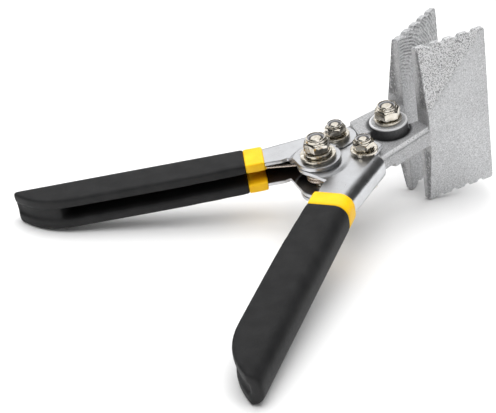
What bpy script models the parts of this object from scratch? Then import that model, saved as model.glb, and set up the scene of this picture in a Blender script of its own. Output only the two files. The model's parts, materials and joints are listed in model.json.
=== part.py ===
"""Hand seamer: wide flat-jawed pliers for folding sheet metal, with compound-action handles.

Units are metres, +Z is up, and the tool rests on a table at Z = 0. All parts are made in the
tool's own frame and then laid on the table by one empty. In the tool's frame the origin is on
the jaw pivot at mid height, +X points to the jaw tips, Z runs along the bolts, and side A is at
+Y. The two jaws are one casting and the two handles one stamping, each used twice: the piece on
side B is the same piece turned over about X.
"""
import math

import bmesh
import bpy
from mathutils import Matrix, Vector

MM = 0.001
GAP = 0.15 * MM                 # air between stacked pieces

# Linkage at rest, with the jaws open
JAW_OPEN = math.radians(17.0)   # each jaw, from the closed position
HANDLE_OPEN = math.radians(32.15)# each handle, from the centre line
HINGE_BACK = 38.96 * MM         # from the jaw pivot back to the handle hinge
LINK_BACK = 21.81 * MM          # from the jaw pivot back to the link pivots
LINK_SIDE = 9.02 * MM           # from the centre line out to each link pivot

# Jaw casting
BLADE_HEIGHT = 76.2 * MM
BLADE_DEPTH = 32.96 * MM
BLADE_BACK = 13.62 * MM         # rear face of the blade, ahead of the pivot
BLADE_FACE = 0.29 * MM          # working face off the centre plane when closed
TIP_THICK = 2.67 * MM
CORNER_THICK = 3.43 * MM
ROOT_THICK = 9.05 * MM
ROOT_DRAFT = 0.14               # forward lean of the rear face
ROOT_HALF = 7.62 * MM           # half height of the hip where the ridges meet the arm
NOTCH_RADIUS = 1.33 * MM
NOTCH_PITCH = BLADE_DEPTH / 5
ARM_TOP = 5.71 * MM
ARM_BOTTOM = -2.29 * MM
ARM_ROOT_TOP = 7.43 * MM
ARM_CHAMFER = 1.52 * MM
JAW_EYE_TOP = 7.15 * MM         # the boss round the pivot stands above the arm
JAW_EYE_RADIUS = 8.29 * MM
POCKET_RADIUS = 8.86 * MM
TAIL_RADIUS = 5.91 * MM
TAIL_HALF = 3.81 * MM
SHOULDER = 8.95 * MM            # full thickness starts this far from the link pivot

# Handle stamping: s runs back from the hinge along the handle, n outwards to its web
SHEET = 1.91 * MM
FLANGE_MID = 5.05 * MM          # mid plane of each flange
WEB_MID = 19.91 * MM            # mid plane of the web along the grip
WEB_MID_FRONT = 25.15 * MM      # mid plane of the web at its front end
WEB_MID_REAR = 19.05 * MM
WEB_FRONT_S = -7.62 * MM
FLARE_S = 22.86 * MM
REAR_S = 129.16 * MM
BEND_RADIUS = 3.62 * MM
HINGE_EYE_RADIUS = 9.53 * MM
LINK_EYE_RADIUS = 8.57 * MM
OUTER_EYE_STEP = 2.76 * MM      # the eye that passes over the other handle's eye
INNER_EYE_STEP = 0.67 * MM
STEP_INNER_RADIUS = 10.48 * MM
STEP_OUTER_RADIUS = 13.43 * MM
EDGE_FRONT_N = 6.38 * MM        # free edge of the flanges near the hinge
EDGE_MID_N = 4.67 * MM          # and along the grip
TAPER_S = 100.01 * MM           # where the flanges begin to run out

# Vinyl
VINYL = 1.3 * MM
BAND_FRONT_S = 22.38 * MM
BAND_REAR_S = 30.58 * MM

# Fasteners: (thread radius, half across flats, nut height, head height)
LARGE = (3.0 * MM, 5.0 * MM, 6.0 * MM, 4.0 * MM)# M6
SMALL = (2.5 * MM, 4.0 * MM, 5.0 * MM, 3.5 * MM)# M5
WIDE_WASHER = (7.6 * MM, 1.5 * MM)
LARGE_WASHER = (6.0 * MM, 1.5 * MM)
SMALL_WASHER = (5.8 * MM, 1.6 * MM)
FIT = 0.3 * MM                  # radial room round a turning bolt
OPEN_PIVOT_FIT = 0.7 * MM       # radial room in jaw B's eye

# Return spring
WIRE_RADIUS = 0.76 * MM
COIL_RADIUS = 5.48 * MM
COIL_TURNS = 2
LEG_Z = 1.81 * MM
LEG_ANGLE = math.radians(10.3)
LEG_END = 34 * MM
SLEEVE_RADIUS = 1.15 * MM       # vinyl round the part of a leg that lies in the handle

ROUND = 24                      # sides of a round piece


# ---------------------------------------------------------------- scene and helpers

def clear_scene():
    for obj in list(bpy.data.objects):
        bpy.data.objects.remove(obj, do_unlink=True)


def make_collection(name, hidden=False):
    collection = bpy.data.collections.new(name)
    bpy.context.scene.collection.children.link(collection)
    collection.hide_render = hidden
    return collection


def make_object(name, mesh, collection):
    obj = bpy.data.objects.new(name, mesh)
    collection.objects.link(obj)
    return obj


def clean_mesh(obj):
    """The object's evaluated shape as a plain welded mesh with its faces pointing out."""
    bpy.context.view_layer.update()
    graph = bpy.context.evaluated_depsgraph_get()
    mesh = bpy.data.meshes.new_from_object(obj.evaluated_get(graph))
    shape = bmesh.new()
    shape.from_mesh(mesh)
    bmesh.ops.remove_doubles(shape, verts=shape.verts, dist=0.002 * MM)
    bmesh.ops.dissolve_degenerate(shape, edges=shape.edges, dist=0.002 * MM)
    bmesh.ops.recalc_face_normals(shape, faces=shape.faces)
    shape.to_mesh(mesh)
    shape.free()
    return mesh


def bake(obj):
    """Replace an object by a plain mesh object of the same shape."""
    mesh = clean_mesh(obj)
    result = make_object("work", mesh, WORK)
    result.matrix_world = obj.matrix_world.copy()
    bpy.data.objects.remove(obj, do_unlink=True)
    return result


def combine(base, other, operation):
    """Boolean of two work objects; the second one is used up."""
    modifier = base.modifiers.new("cut", "BOOLEAN")
    modifier.operation = operation
    modifier.solver = "EXACT"
    modifier.object = other
    result = bake(base)
    bpy.data.objects.remove(other, do_unlink=True)
    return result


def prism(points, low, high):
    """A flat outline in XY, extruded from low to high."""
    data = bpy.data.curves.new("outline", "CURVE")
    data.dimensions = "2D"
    data.fill_mode = "BOTH"
    data.extrude = (high - low) / 2
    spline = data.splines.new("POLY")
    spline.points.add(len(points) - 1)
    for point, (x, y) in zip(spline.points, points):
        point.co = (x, y, 0, 1)
    spline.use_cyclic_u = True
    obj = make_object("outline", data, WORK)
    obj.location.z = (high + low) / 2
    result = bake(obj)
    result.data.transform(result.matrix_world)
    result.matrix_world = Matrix.Identity(4)
    return result


def arc(centre, radius, start, end, count):
    """Points on an arc, from start to end in degrees."""
    angles = [math.radians(start + (end - start) * i / count) for i in range(count + 1)]
    return [(centre[0] + radius * math.cos(a), centre[1] + radius * math.sin(a)) for a in angles]


def disc(centre, radius, low, high, sides=ROUND):
    return prism(arc(centre, radius, 0, 360 - 360 / sides, sides - 1), low, high)


def hexagon(half_flats, low, high):
    return prism(arc((0, 0), half_flats / math.cos(math.pi / 6), 0, 300, 5), low, high)


def hull(points):
    mesh = bpy.data.meshes.new("hull")
    shape = bmesh.new()
    verts = [shape.verts.new(p) for p in points]
    bmesh.ops.convex_hull(shape, input=verts)
    shape.to_mesh(mesh)
    shape.free()
    return bake(make_object("hull", mesh, WORK))


def turned(profile):
    """A closed (radius, height) profile turned round Z."""
    mesh = bpy.data.meshes.new("profile")
    count = len(profile)
    mesh.from_pydata([(r, 0, z) for r, z in profile], [(i, (i + 1) % count) for i in range(count)], [])
    obj = make_object("profile", mesh, WORK)
    screw = obj.modifiers.new("turn", "SCREW")
    screw.steps = screw.render_steps = ROUND
    screw.use_merge_vertices = True
    screw.merge_threshold = 0.00001
    return bake(obj)


def make_material(name, colour, metallic, roughness):
    material = bpy.data.materials.new(name)
    material.use_nodes = True
    shader = material.node_tree.nodes["Principled BSDF"]
    shader.inputs["Base Color"].default_value = (*colour, 1)
    shader.inputs["Metallic"].default_value = metallic
    shader.inputs["Roughness"].default_value = roughness
    return material


def finish(name, work, matrix, parent, material):
    """Name a work object, hang it on its pivot's empty and give it its material."""
    mesh = work.data
    mesh.name = name
    mesh.materials.clear()
    mesh.materials.append(material)
    mesh.shade_smooth()
    mesh.set_sharp_from_angle(angle=math.radians(30))
    obj = make_object(name, mesh, PARTS)
    bpy.data.objects.remove(work, do_unlink=True)
    obj.parent = parent
    obj.matrix_local = matrix
    return obj


# ---------------------------------------------------------------- linkage

def turn(angle):
    return Matrix.Rotation(angle, 4, "Z")


TURN_OVER = Matrix.Rotation(math.pi, 4, "X")
LINK_IN_JAW = turn(-JAW_OPEN) @ Vector((-LINK_BACK, LINK_SIDE, 0))
LINK_IN_HANDLE = turn(HANDLE_OPEN) @ Vector((HINGE_BACK - LINK_BACK, LINK_SIDE, 0))


def pivot_empty(name, x, y, parent):
    empty = bpy.data.objects.new(name, None)
    empty.empty_display_size = 9.53 * MM
    PARTS.objects.link(empty)
    empty.parent = parent
    empty.location = (x, y, 0)
    return empty


# ---------------------------------------------------------------- jaws

def blade():
    """Flat working face, hipped back: thin edges rising to the arm's root."""
    front = BLADE_BACK + BLADE_DEPTH
    half = BLADE_HEIGHT / 2
    points = []
    for z in (-half, half):
        points += [(BLADE_BACK, BLADE_FACE, z), (front, BLADE_FACE, z), (front, TIP_THICK, z)]
        points.append((BLADE_BACK + ROOT_DRAFT * CORNER_THICK, CORNER_THICK, z))
    for z in (-ROOT_HALF, ROOT_HALF):
        points.append((BLADE_BACK + ROOT_DRAFT * ROOT_THICK, ROOT_THICK, z))
    return hull(points)


def notched(work):
    """Round notches in both ends of the blade, for gripping hemmed corners."""
    for side in (-1, 1):
        for index in range(1, 5):
            cutter = disc((0, 0), NOTCH_RADIUS, -3.81 * MM, 11.43 * MM, 12)
            place = Matrix.Translation((BLADE_BACK + index * NOTCH_PITCH, 0, side * BLADE_HEIGHT / 2))
            cutter.data.transform(place @ Matrix.Rotation(-math.pi / 2, 4, "X"))
            work = combine(work, cutter, "DIFFERENCE")
    return work


def arm_outline():
    """The arm from the blade back to the tail, on the outer side of the jaw pivot."""
    px, py = LINK_IN_JAW.x, LINK_IN_JAW.y
    root = (BLADE_BACK + 5.43 * MM, 7.62 * MM)
    inner = (-8.48 * MM, 3.43 * MM)
    outer_way = math.degrees(math.atan2(py - root[1], px - root[0]))
    outer_reach = math.hypot(px - root[0], py - root[1])
    outer_start = outer_way + math.degrees(math.acos(TAIL_RADIUS / outer_reach)) - 180
    inner_way = math.degrees(math.atan2(inner[1] - py, inner[0] - px))
    inner_reach = math.hypot(px - inner[0], py - inner[1])
    inner_end = inner_way - math.degrees(math.acos(TAIL_RADIUS / inner_reach)) + 360
    tail = arc((px, py), TAIL_RADIUS, outer_start, inner_end, 12)
    return [(root[0], BLADE_FACE), root] + tail + [inner, (0, BLADE_FACE)]


def arm_chamfer(start, end):
    """Cutter that bevels the arm's outer edge on its thin side."""
    along = Vector((end[0] - start[0], end[1] - start[1], 0)).normalized()
    out = Vector((along.y, -along.x, 0))
    extra = 0.5 * MM
    points = []
    for corner, reach in ((start, -1.91 * MM), (end, -0.3 * MM)):
        base = Vector((*corner, ARM_BOTTOM)) + along * reach
        points.append(base + out * extra + Vector((0, 0, ARM_CHAMFER + extra)))
        points.append(base + out * extra - Vector((0, 0, extra)))
        points.append(base - out * (ARM_CHAMFER + extra) - Vector((0, 0, extra)))
    return hull(points)


def jaw(pivot_hole):
    px, py = LINK_IN_JAW.x, LINK_IN_JAW.y
    outline = arm_outline()
    work = prism(outline, ARM_BOTTOM, ARM_TOP)
    work = combine(work, arm_chamfer(outline[1], outline[2]), "DIFFERENCE")
    # The flanges of the handle lap the tail, so it is thinner there.
    way = math.atan2(-py, -px)
    across = Matrix.Translation((px, py, 0)) @ turn(way)
    reach = 28.57 * MM
    tail_cut = prism([(-reach, -reach), (SHOULDER, -reach), (SHOULDER, reach), (-reach, reach)],
                     TAIL_HALF, reach)
    tail_cut.data.transform(across)
    work = combine(work, tail_cut, "DIFFERENCE")
    # The lower half of the pivot belongs to the other jaw's eye.
    work = combine(work, disc((0, 0), POCKET_RADIUS, -reach, GAP, 40), "DIFFERENCE")
    work = combine(work, disc((0, 0), JAW_EYE_RADIUS, GAP, JAW_EYE_TOP, 36), "UNION")
    work = combine(work, disc((px, py), TAIL_RADIUS + 0.12 * MM, -TAIL_HALF, TAIL_HALF - 0.02 * MM), "UNION")
    # The arm deepens towards the blade.
    start = POCKET_RADIUS + 0.38 * MM
    x_end = BLADE_BACK + 4.76 * MM
    slope = (7.62 * MM - py - TAIL_RADIUS) / (BLADE_BACK + 5.43 * MM - px)
    ramp = []
    for x, top in ((start, ARM_TOP), (x_end, ARM_ROOT_TOP)):
        edge = 7.62 * MM + slope * (x - BLADE_BACK - 5.43 * MM) - 0.29 * MM
        for y in (BLADE_FACE, edge):
            ramp += [(x, y, ARM_TOP - 1.91 * MM), (x, y, top)]
    work = combine(work, hull(ramp), "UNION")
    work = combine(work, notched(blade()), "UNION")
    work = combine(work, disc((0, 0), pivot_hole, -reach, reach), "DIFFERENCE")
    work = combine(work, disc((px, py), SMALL[0] + FIT, -reach, reach), "DIFFERENCE")
    return work


# ---------------------------------------------------------------- handles

def web_mid(s):
    """How far out the web's mid plane is, s along the handle."""
    if s < FLARE_S:
        return WEB_MID + (WEB_MID_FRONT - WEB_MID) * (FLARE_S - s) / (FLARE_S - WEB_FRONT_S)
    return WEB_MID + (WEB_MID_REAR - WEB_MID) * (s - FLARE_S) / (REAR_S - FLARE_S)


def channel_surface(front, rear, top_step, bottom_step):
    """Open mid surface of the channel: two flanges, two bends and the web.

    A flange with a step has a raised round eye at the hinge, with a conical joggle round it.
    The flanges are wider than needed at their free edges and are trimmed later.
    """
    shape = bmesh.new()
    stations = [s for s in (rear, FLARE_S, max(front, WEB_FRONT_S)) if front <= s <= rear]
    stations = sorted(set(stations), reverse=True)
    flat = FLANGE_MID - BEND_RADIUS
    margin = 15.24 * MM

    def vert(s, n, z):
        return shape.verts.new((-s, n, z))

    for side, step in ((1, top_step), (-1, bottom_step)):
        bend = [vert(s, web_mid(s) - BEND_RADIUS, side * FLANGE_MID) for s in stations]
        outline = list(bend)
        if step:
            outline.append(vert(front, web_mid(front) - BEND_RADIUS, side * FLANGE_MID))
        for s in (min(front, stations[-1]), rear):
            outline.append(vert(s, -margin, side * FLANGE_MID))
        edges = [shape.edges.new((a, b)) for a, b in zip(outline, outline[1:] + outline[:1])]
        if step:
            rings = []
            for radius, rise in ((STEP_OUTER_RADIUS, 0), (STEP_INNER_RADIUS, step)):
                ring = [vert(x, y, side * (FLANGE_MID + rise)) for x, y in arc((0, 0), radius, 0, 350, 35)]
                rings.append(ring)
                loop = [shape.edges.new((a, b)) for a, b in zip(ring, ring[1:] + ring[:1])]
                if radius == STEP_OUTER_RADIUS:
                    edges += loop
            for i in range(36):
                j = (i + 1) % 36
                shape.faces.new((rings[0][i], rings[0][j], rings[1][j], rings[1][i]))
            shape.faces.new(rings[1])
        bmesh.ops.triangle_fill(shape, edges=edges, use_beauty=True)
        # Bend and half of the web
        previous = bend
        for k in range(1, 6):
            angle = math.radians(18 * k)
            row = []
            for s in stations:
                n = web_mid(s) - BEND_RADIUS * (1 - math.sin(angle))
                row.append(vert(s, n, side * (flat + BEND_RADIUS * math.cos(angle))))
            for i in range(len(stations) - 1):
                shape.faces.new((previous[i], previous[i + 1], row[i + 1], row[i]))
            previous = row
        middle = [vert(s, web_mid(s), 0) for s in stations]
        for i in range(len(stations) - 1):
            shape.faces.new((previous[i], previous[i + 1], middle[i + 1], middle[i]))
    bmesh.ops.remove_doubles(shape, verts=shape.verts, dist=0.001 * MM)
    bmesh.ops.recalc_face_normals(shape, faces=shape.faces)
    mesh = bpy.data.meshes.new("channel")
    shape.to_mesh(mesh)
    shape.free()
    return make_object("channel", mesh, WORK)


def channel(front, rear, thickness, top_step=0, bottom_step=0):
    obj = channel_surface(front, rear, top_step, bottom_step)
    shell = obj.modifiers.new("sheet", "SOLIDIFY")
    shell.thickness = thickness
    shell.offset = 0
    shell.use_even_offset = True
    return bake(obj)


def free_edge(s):
    """The flanges' free edge along the grip, in n: nearly straight, then running out."""
    if s <= TAPER_S:
        along = min(1, (s - FLARE_S) / (57.15 * MM))
        return EDGE_FRONT_N + (EDGE_MID_N - EDGE_FRONT_N) * math.sin(along * math.pi / 2)
    along = (s - TAPER_S) / (REAR_S - TAPER_S)
    return EDGE_MID_N + 12.38 * MM * along ** 2.9


def grip_outline(front, rear, grow):
    """Plan of the grip part of the channel, grown by a margin all round."""
    count = 22
    points = []
    for i in range(count + 1):
        s = front + (rear - front) * math.sin(i / count * math.pi / 2)
        points.append((-s, free_edge(min(max(s - grow * i / count, FLARE_S), REAR_S)) - grow))
    far = 38.1 * MM
    return points + [(-rear, far), (-front, far)]


def handle_outline():
    """Plan of the whole stamping: link eye, hinge eye, then the grip part."""
    lx, ly = LINK_IN_HANDLE.x, LINK_IN_HANDLE.y
    tilt = math.degrees(HANDLE_OPEN)
    far = 38.1 * MM
    # In plan, x is forward and y is n, so the open tool's centre line is turned by the tilt.
    link = arc((lx, ly), LINK_EYE_RADIUS, 90, tilt - 90, 16)
    hinge = arc((0, 0), HINGE_EYE_RADIUS, tilt + 2, -168, 22)
    grip = grip_outline(15.24 * MM, REAR_S, 0)[:-2]
    neck = (-12.57 * MM, 7.24 * MM)
    return [(lx - 1.91 * MM, far)] + [(lx, far)] + link + hinge + [neck] + grip + [(-REAR_S, far)]


def handle():
    work = channel(-20.96 * MM, REAR_S, SHEET, OUTER_EYE_STEP, INNER_EYE_STEP)
    reach = 19.05 * MM
    work = combine(work, prism(handle_outline(), -reach, reach), "INTERSECT")
    work = combine(work, disc((0, 0), LARGE[0] + FIT, -reach, reach), "DIFFERENCE")
    link = (LINK_IN_HANDLE.x, LINK_IN_HANDLE.y)
    return combine(work, disc(link, SMALL[0] + FIT / 2, -reach, reach), "DIFFERENCE")


def leg_rod(radius, start, end):
    """A rod along the spring's leg, between two distances from where it leaves the coil."""
    rod = disc((0, 0), radius, start, end, 12)
    along = Vector((-math.cos(LEG_ANGLE), math.sin(LEG_ANGLE), 0))
    touch = Vector((along.y, -along.x, 0)) * COIL_RADIUS + Vector((0, 0, LEG_Z))
    rod.data.transform(Matrix.Translation(touch) @ along.to_track_quat("Z", "Y").to_matrix().to_4x4())
    return rod


def mouth_fill():
    """Vinyl that closes the channel's mouth towards the end of the grip, just inside its edges."""
    deep = 17.3 * MM
    start = TAPER_S + 4 * MM
    end = REAR_S + VINYL - 0.6 * MM
    points = [(-start, deep)]
    for i in range(15):
        s = start + 7 * MM + (end - start - 7 * MM) * i / 14
        points.append((-s, free_edge(min(s, REAR_S)) - VINYL + 0.9 * MM))
    return prism(points + [(-end, deep)], -3.2 * MM, 3.2 * MM)


def vinyl(front, rear, rear_end):
    """A dipped coat on both sides of the sheet, round its free edges and round the spring's leg."""
    reach = 20 * MM
    work = channel(front, rear, SHEET + 2 * VINYL)
    trim = prism(grip_outline(front - 1 * MM, rear + 1 * MM, VINYL), -reach, reach)
    work = combine(work, trim, "INTERSECT")
    leg_start = front + (1.35 * MM if rear_end else 0.6 * MM)
    leg_end = LEG_END + 3 * MM if rear_end else rear + 0.75 * MM
    work = combine(work, leg_rod(SLEEVE_RADIUS, leg_start, leg_end), "UNION")
    work = combine(work, leg_rod(WIRE_RADIUS + 0.1 * MM, leg_start - 3 * MM, LEG_END + 0.3 * MM), "DIFFERENCE")
    if rear_end:
        work = combine(work, mouth_fill(), "UNION")
    room = 0.1 * MM
    end = REAR_S + 0.2 * MM if rear_end else rear + 5 * MM
    slot = channel(front - 5 * MM, end, SHEET + 2 * room)
    slot = combine(slot, prism(grip_outline(front - 6 * MM, end + 1 * MM, room), -reach, reach), "INTERSECT")
    return combine(work, slot, "DIFFERENCE")


# ---------------------------------------------------------------- fasteners and spring

def washer(size, bore, low):
    outer, thick = size
    edge = 0.19 * MM
    high = low + thick
    return turned([(bore, low), (outer - edge, low), (outer, low + edge), (outer, high - edge),
                   (outer - edge, high), (bore, high)])


def lock_nut(size, low):
    """Hexagon with a round collar that is crimped over the nylon ring."""
    thread, half_flats, height, _ = size
    bore = thread + GAP
    corner = half_flats * 1.16
    collar = half_flats * 0.86
    lip = thread + 0.43 * MM
    chamber = thread + 0.9 * MM
    h = height
    profile = [(bore, low), (half_flats * 0.95, low), (corner, low + 0.12 * h), (corner, low + 0.62 * h),
               (half_flats, low + 0.72 * h), (collar, low + 0.76 * h), (collar, low + 0.92 * h),
               (collar * 0.92, low + h), (lip, low + h), (lip, low + 0.93 * h), (chamber, low + 0.93 * h),
               (chamber, low + 0.68 * h), (bore, low + 0.68 * h)]
    work = turned(profile)
    return combine(work, hexagon(half_flats, low - 0.95 * MM, low + h + 0.95 * MM), "INTERSECT")


def nut_insert(size, low):
    thread, _, height, _ = size
    inner = thread + 0.1 * MM
    outer = thread + 0.81 * MM
    bottom = low + 0.68 * height + 0.1 * MM
    top = low + 0.93 * height - 0.1 * MM
    return turned([(inner, bottom), (outer, bottom), (outer, top), (inner, top)])


def bolt(size, head_top, end):
    """Hexagon head below, plain round shank up to the end."""
    thread, half_flats, _, head = size
    corner = half_flats * 1.16
    low = head_top - head
    profile = [(0, low), (half_flats * 0.93, low), (corner, low + 0.76 * MM), (corner, head_top),
               (0, head_top)]
    work = combine(turned(profile), hexagon(half_flats, low - 0.95 * MM, head_top + 0.95 * MM), "INTERSECT")
    tip = 0.57 * MM
    start = low + 1 * MM
    shank = turned([(0, start), (thread, start), (thread, end - tip), (thread - tip, end), (0, end)])
    return combine(work, shank, "UNION")


def fastener_stack(prefix, suffix, size, washer_size, outer, place, parent, steel, nylon, wide=None):
    """Bolt from below, a washer at each end, a lock nut and its ring on top.

    The clamped pieces reach to outer above and below. A wide washer may lie under the top one.
    """
    bore = size[0] + GAP
    lower = -outer - GAP - washer_size[1]
    upper = outer + GAP
    pieces = {}
    if wide:
        pieces["washer_wide"] = (washer(wide, bore, upper), steel)
        upper += wide[1] + GAP
    nut_low = upper + washer_size[1] + GAP
    pieces["bolt"] = (bolt(size, lower - GAP, nut_low + size[2] - 0.5 * MM), steel)
    pieces["washer_bottom"] = (washer(washer_size, bore, lower), steel)
    pieces["washer_top"] = (washer(washer_size, bore, upper), steel)
    pieces["lock_nut"] = (lock_nut(size, nut_low), steel)
    pieces["nut_insert"] = (nut_insert(size, nut_low), nylon)
    for name, (work, material) in pieces.items():
        finish(prefix + "_" + name + suffix, work, place, parent, material)


def spring_points():
    """Wire path from leg A, round the bush, to leg B."""
    leg = turn(-HANDLE_OPEN) @ Vector((-math.cos(LEG_ANGLE), math.sin(LEG_ANGLE), 0))
    start = math.atan2(-leg.x, leg.y)
    sweep = 2 * start + COIL_TURNS * 2 * math.pi
    count = 16 * COIL_TURNS + 4
    touch = Vector((math.cos(start), math.sin(start), 0)) * COIL_RADIUS
    points = [touch + leg * LEG_END + Vector((0, 0, LEG_Z))]
    for i in range(count + 1):
        angle = start - sweep * i / count
        rise = LEG_Z - 2 * LEG_Z * i / count
        points.append(Vector((math.cos(angle) * COIL_RADIUS, math.sin(angle) * COIL_RADIUS, rise)))
    last = points[0].copy()
    last.y = -last.y
    last.z = -last.z
    return points + [last]


def torsion_spring():
    data = bpy.data.curves.new("spring", "CURVE")
    data.dimensions = "3D"
    data.bevel_depth = WIRE_RADIUS
    data.bevel_resolution = 2
    data.use_fill_caps = True
    points = spring_points()
    spline = data.splines.new("POLY")
    spline.points.add(len(points) - 1)
    for point, co in zip(spline.points, points):
        point.co = (*co, 1)
    return bake(make_object("spring", data, WORK))


# ---------------------------------------------------------------- assembly

def lay_on_table(tool):
    """Tip the tool onto its blade corners and grip ends, and centre it over the origin."""
    half = BLADE_HEIGHT / 2
    corner_x = (BLADE_BACK * math.cos(JAW_OPEN) - CORNER_THICK * math.sin(JAW_OPEN))
    grip_half = FLANGE_MID + SHEET / 2 + VINYL
    tip_x = -HINGE_BACK - REAR_S * math.cos(HANDLE_OPEN) + 16.19 * MM * math.sin(HANDLE_OPEN)
    tilt = math.atan2(half - grip_half, corner_x - tip_x)
    tool.matrix_world = Matrix.Rotation(-tilt, 4, "Y")
    bpy.context.view_layer.update()
    points = []
    for obj in PARTS.objects:
        if obj.type == "MESH":
            points += [obj.matrix_world @ v.co for v in obj.data.vertices]
    low = Vector([min(p[i] for p in points) for i in range(3)])
    high = Vector([max(p[i] for p in points) for i in range(3)])
    tool.location = (-(low.x + high.x) / 2, -(low.y + high.y) / 2, -low.z)
    bpy.context.view_layer.update()


def main():
    cast = make_material("cast aluminium", (0.62, 0.63, 0.65), 0.85, 0.5)
    plated = make_material("plated sheet steel", (0.72, 0.73, 0.76), 1, 0.2)
    steel = make_material("nickel plated steel", (0.66, 0.62, 0.56), 1, 0.15)
    wire = make_material("spring wire", (0.6, 0.52, 0.45), 1, 0.3)
    black = make_material("black vinyl", (0.02, 0.02, 0.022), 0, 0.55)
    yellow = make_material("yellow vinyl", (0.9, 0.55, 0.02), 0, 0.45)
    nylon = make_material("nylon ring", (0.35, 0.35, 0.36), 0, 0.6)

    tool = pivot_empty("tool_frame", 0, 0, None)
    jaw_pivot = pivot_empty("jaw_pivot", 0, 0, tool)
    handle_pivot = pivot_empty("handle_pivot", -HINGE_BACK, 0, tool)
    whole = Matrix.Identity(4)
    sides = (("_a", 1, whole), ("_b", -1, TURN_OVER))
    for suffix, side, flip in sides:
        link_pivot = pivot_empty("link_pivot" + suffix, -LINK_BACK, side * LINK_SIDE, tool)
        # Each jaw turns on its link pivot, so its origin is put there.
        place = turn(side * JAW_OPEN) @ flip
        bolt_fit = FIT if side > 0 else OPEN_PIVOT_FIT
        casting = jaw(LARGE[0] + bolt_fit)
        casting.data.transform(Matrix.Translation(-LINK_IN_JAW))
        finish("jaw" + suffix, casting, place, link_pivot, cast)
        lie = turn(-side * HANDLE_OPEN) @ flip
        finish("handle" + suffix, handle(), lie, handle_pivot, plated)
        band = vinyl(BAND_FRONT_S, BAND_REAR_S, False)
        finish("band" + suffix, band, lie, handle_pivot, yellow)
        grip = vinyl(BAND_REAR_S + GAP, REAR_S + VINYL, True)
        finish("grip" + suffix, grip, lie, handle_pivot, black)
        flange = FLANGE_MID + SHEET / 2
        fastener_stack("link", suffix, SMALL, SMALL_WASHER, flange, whole, link_pivot, steel, nylon)
    fastener_stack("jaw", "", LARGE, LARGE_WASHER, JAW_EYE_TOP, whole, jaw_pivot, steel, nylon)
    eye = FLANGE_MID + OUTER_EYE_STEP + SHEET / 2
    fastener_stack("hinge", "", LARGE, LARGE_WASHER, eye, whole, handle_pivot, steel, nylon, WIDE_WASHER)
    finish("torsion_spring", torsion_spring(), whole, handle_pivot, wire)
    lay_on_table(tool)


clear_scene()
PARTS = make_collection("hand_seamer")
WORK = make_collection("cutters", hidden=True)
main()
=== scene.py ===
"""Looks for the hand seamer: refined meshes, procedural materials, floor, light and camera.

The meshes are made in millimetres, in the tool's own frame: the origin is on the jaw pivot, +X
points to the jaw tips, +Z runs up the bolts, and side A is at +Y. The piece on side B is the
same piece turned over about X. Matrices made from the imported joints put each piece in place.
"""
import json
import math

import bmesh
import bpy
import numpy as np
from mathutils import Matrix, Vector


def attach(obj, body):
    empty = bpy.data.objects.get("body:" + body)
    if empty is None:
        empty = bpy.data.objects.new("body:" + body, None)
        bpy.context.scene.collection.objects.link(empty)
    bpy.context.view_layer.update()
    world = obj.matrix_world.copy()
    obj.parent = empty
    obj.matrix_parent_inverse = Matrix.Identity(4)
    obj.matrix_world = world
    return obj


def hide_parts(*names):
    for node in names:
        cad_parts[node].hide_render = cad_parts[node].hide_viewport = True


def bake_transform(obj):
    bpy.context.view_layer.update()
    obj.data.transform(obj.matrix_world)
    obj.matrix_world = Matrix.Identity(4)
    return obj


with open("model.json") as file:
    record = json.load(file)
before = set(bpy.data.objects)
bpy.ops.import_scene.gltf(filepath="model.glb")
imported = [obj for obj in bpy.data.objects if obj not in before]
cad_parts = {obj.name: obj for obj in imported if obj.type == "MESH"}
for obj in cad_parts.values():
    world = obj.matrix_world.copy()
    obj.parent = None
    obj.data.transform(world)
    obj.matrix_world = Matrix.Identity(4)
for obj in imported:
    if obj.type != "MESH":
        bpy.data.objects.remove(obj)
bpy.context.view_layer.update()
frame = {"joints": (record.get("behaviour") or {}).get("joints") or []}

# ---------------------------------------------------------------- dimensions, in mm and degrees

JAW_OPEN = 17.0
HANDLE_OPEN = 32.15
HINGE_BACK = 38.96
LINK_BACK = 21.81
LINK_SIDE = 9.02

BLADE_HEIGHT = 76.2
BLADE_DEPTH = 32.96
BLADE_BACK = 13.62
BLADE_FACE = 0.29
TIP_THICK = 2.67
CORNER_THICK = 3.43
ROOT_THICK = 9.05
ROOT_DRAFT = 0.14
ROOT_HALF = 7.62
NOTCH_RADIUS = 1.33
NOTCH_PITCH = BLADE_DEPTH / 5
ARM_TOP = 5.71
ARM_BOTTOM = -2.29
ARM_ROOT_TOP = 7.43
ARM_CHAMFER = 1.52
JAW_EYE_RADIUS = 8.29
JAW_EYE_TOP = 7.15
POCKET_RADIUS = 8.86
TAIL_RADIUS = 5.91
TAIL_HALF = 3.81
SHOULDER = 8.95
ARM_ROOT = (BLADE_BACK + 5.43, 7.62)
ARM_INNER_CORNER = (-8.48, 3.43)
ARM_RAMP_END = BLADE_BACK + 4.76

SHEET = 1.91
FLANGE_MID = 5.05
WEB_MID = 19.91
WEB_MID_FRONT = 25.15
WEB_MID_REAR = 19.05
WEB_FRONT_S = -7.62
FLARE_S = 22.86
REAR_S = 129.16
BEND_RADIUS = 3.62
HINGE_EYE_RADIUS = 9.53
LINK_EYE_RADIUS = 8.57
OUTER_EYE_STEP = 2.76
INNER_EYE_STEP = 0.67
STEP_INNER_RADIUS = 10.48
STEP_OUTER_RADIUS = 13.43
EDGE_FRONT_N = 6.38
EDGE_MID_N = 4.67
EDGE_FALL_S = 57.15
EDGE_RISE_N = 12.38
EDGE_RISE_POWER = 2.9
EDGE_START_S = 15.24
EDGE_CORNER = (-12.57, 7.24)
CHANNEL_FRONT_S = -20.96
TAPER_S = 100.01
VINYL = 1.3
BAND_FRONT_S = 22.38
BAND_REAR_S = 30.58
MOUTH_DEEP_N = 17.3
MOUTH_RAMP_S = 7
MOUTH_HALF = 3.2

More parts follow.
